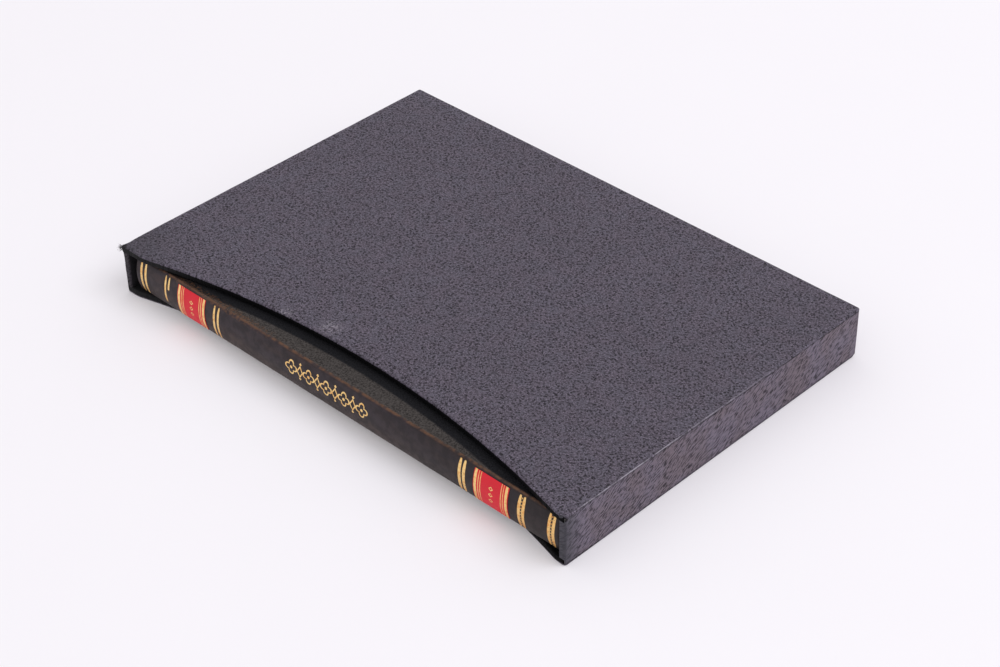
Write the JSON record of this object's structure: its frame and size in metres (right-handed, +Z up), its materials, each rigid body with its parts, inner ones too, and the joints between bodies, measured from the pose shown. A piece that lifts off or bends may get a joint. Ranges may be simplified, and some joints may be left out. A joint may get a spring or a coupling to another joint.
{
  "type": "book slipcase",
  "caption": "Flat leather covered slipcase with shallow finger arcs in its open edge, holding a slim round backed leather book that slides out.",
  "frame": {"origin": "middle of the case's footprint, on the surface that it lies on", "axes": "+X along the book's spine from head to tail, -Y out of the opening, +Z up through the case's thickness"},
  "size_m": [0.224, 0.155, 0.021],
  "materials": {
    "greyboard": "matt",
    "case_leather": "pebble grained, soft sheen",
    "black_lining_paper": "matt",
    "book_leather": "smooth back, finely grained sides, worn brown at the joints",
    "kraft_paper": "matt",
    "linen_tape": "plain woven",
    "text_paper": "matt cream",
    "endpaper": "matt laid",
    "silk_band": "silk worked",
    "red_label_leather": "smooth, tooled in gold"
  },
  "bodies": {
    "slipcase": {"top_board": "greyboard", "bottom_board": "greyboard", "back_board": "greyboard", "head_board": "greyboard", "tail_board": "greyboard", "top_leather": "case_leather", "bottom_leather": "case_leather", "wall_leather": "case_leather", "top_lining": "black_lining_paper", "bottom_lining": "black_lining_paper", "back_lining": "black_lining_paper", "head_lining": "black_lining_paper", "tail_lining": "black_lining_paper"},
    "book": {"front_cover_board": "greyboard", "back_cover_board": "greyboard", "cover_leather": "book_leather", "spine_hollow": "kraft_paper", "sewing_tapes": "linen_tape", "text_section_1": "text_paper", "text_section_2": "text_paper", "text_section_3": "text_paper", "text_section_4": "text_paper", "text_section_5": "text_paper", "text_section_6": "text_paper", "text_section_7": "text_paper", "front_endpaper": "endpaper", "back_endpaper": "endpaper", "headband": "silk_band", "tailband": "silk_band", "head_label": "red_label_leather", "tail_label": "red_label_leather"}
  },
  "joints": [
    {"name": "book_slide", "type": "slide", "parent": "slipcase", "child": "book", "axis": [0, -1, 0], "range_m": [0, 0.156]}
  ]
}
